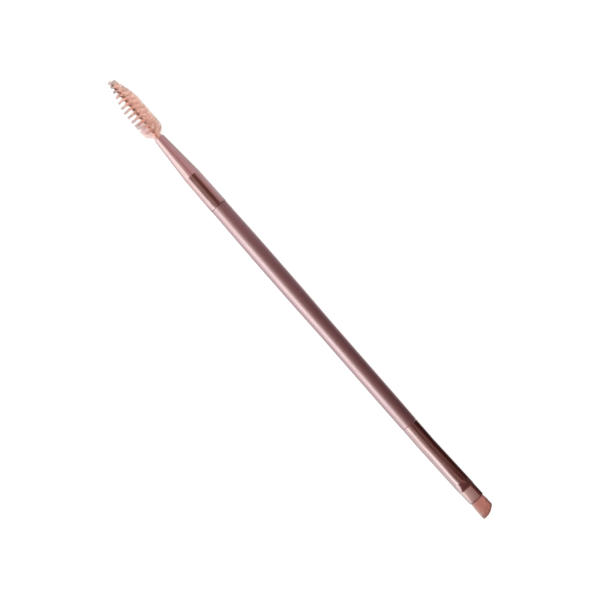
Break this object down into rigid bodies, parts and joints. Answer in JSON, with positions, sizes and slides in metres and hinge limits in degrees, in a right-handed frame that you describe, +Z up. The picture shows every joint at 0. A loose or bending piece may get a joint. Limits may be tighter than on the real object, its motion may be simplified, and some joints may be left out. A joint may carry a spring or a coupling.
{
  "type": "eyebrow brush",
  "caption": "Double-ended eyebrow brush: a twisted-wire spoolie in a tapered ferrule, a turned handle, and a flat slanted tuft in a crimped ferrule.",
  "frame": {"origin": "middle of the brush's length, on the surface that it lies on, under the axis of the handle", "axes": "+X from the spoolie to the flat tuft, +Z up; +Y is the side of the flat tuft's short hair, and the crimped band lies flat"},
  "size_m": [0.1696, 0.0066, 0.0064],
  "materials": {
    "handle_lacquer": "satin metallic rose lacquer over turned wood",
    "spoolie_ferrule_metal": "polished, anodised rose",
    "flat_ferrule_metal": "polished, anodised rose",
    "wire_steel": "drawn wire",
    "spoolie_nylon": "peach nylon filaments",
    "tuft_hair": "rose-brown synthetic hair",
    "spoolie_glue_resin": "set clear amber glue",
    "hair_glue_resin": "set clear amber glue"
  },
  "bodies": {
    "root": {"handle": "handle_lacquer", "spoolie_ferrule": "spoolie_ferrule_metal", "spoolie_glue": "spoolie_glue_resin", "twisted_wire": "wire_steel", "spoolie_bristles": "spoolie_nylon", "flat_ferrule": "flat_ferrule_metal", "hair_glue": "hair_glue_resin", "hair_tuft": "tuft_hair"}
  },
  "joints": []
}
